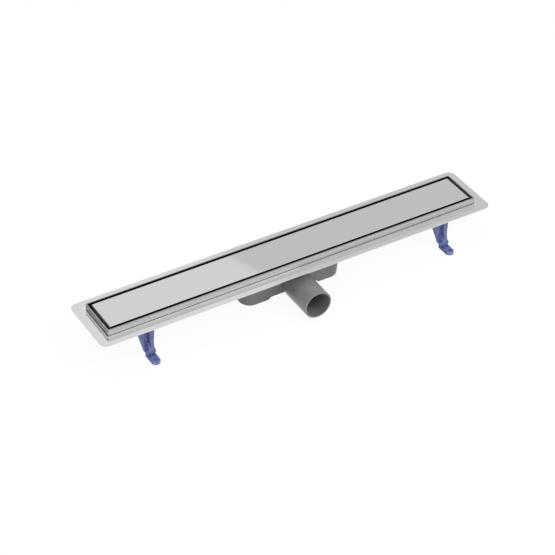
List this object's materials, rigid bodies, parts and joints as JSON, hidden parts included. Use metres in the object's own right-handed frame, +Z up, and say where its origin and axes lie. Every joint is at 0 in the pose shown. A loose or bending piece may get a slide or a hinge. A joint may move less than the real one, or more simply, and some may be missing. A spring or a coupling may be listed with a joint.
{
  "type": "linear shower drain",
  "caption": "Linear shower drain: a steel channel with a wide flange, a flush solid cover, a slim side-outlet trap and moulded legs.",
  "frame": {"origin": "middle of the cover's top face, which is the level of the finished floor", "axes": "+X along the drain, +Z up out of the floor, -Y towards the outlet spigot"},
  "size_m": [0.742, 0.1747, 0.0746],
  "materials": {
    "cover_steel": "brushed along its length",
    "trough_steel": "brushed",
    "flange_steel": "smooth cold-rolled, near mirror",
    "fitting_steel": "smooth cold-rolled",
    "fastener_steel": "plain bright",
    "trap_plastic": "fine moulded texture, dark grey",
    "insert_plastic": "smooth moulded, mid grey",
    "leg_plastic": "satin moulded, blue",
    "shoe_plastic": "satin moulded, blue",
    "seal_rubber": "soft black rubber"
  },
  "bodies": {
    "root": {"trough": "trough_steel", "flange": "flange_steel", "cover": "cover_steel", "hair_strainer": "fitting_steel", "clamp_screws": "fastener_steel", "leg_studs": "fastener_steel", "leg_nuts": "fastener_steel", "cover_bridge_1": "fitting_steel", "cover_bridge_2": "fitting_steel", "cover_bridge_3": "fitting_steel", "cover_bridge_4": "fitting_steel", "trap_body": "trap_plastic", "trap_deck": "trap_plastic", "trap_gasket": "seal_rubber", "insert_seal": "seal_rubber", "dip_insert": "insert_plastic", "leg_front_left": "leg_plastic", "shoe_front_left": "shoe_plastic", "leg_front_right": "leg_plastic", "shoe_front_right": "shoe_plastic", "leg_rear_left": "leg_plastic", "shoe_rear_left": "shoe_plastic", "leg_rear_right": "leg_plastic", "shoe_rear_right": "shoe_plastic"}
  },
  "joints": []
}
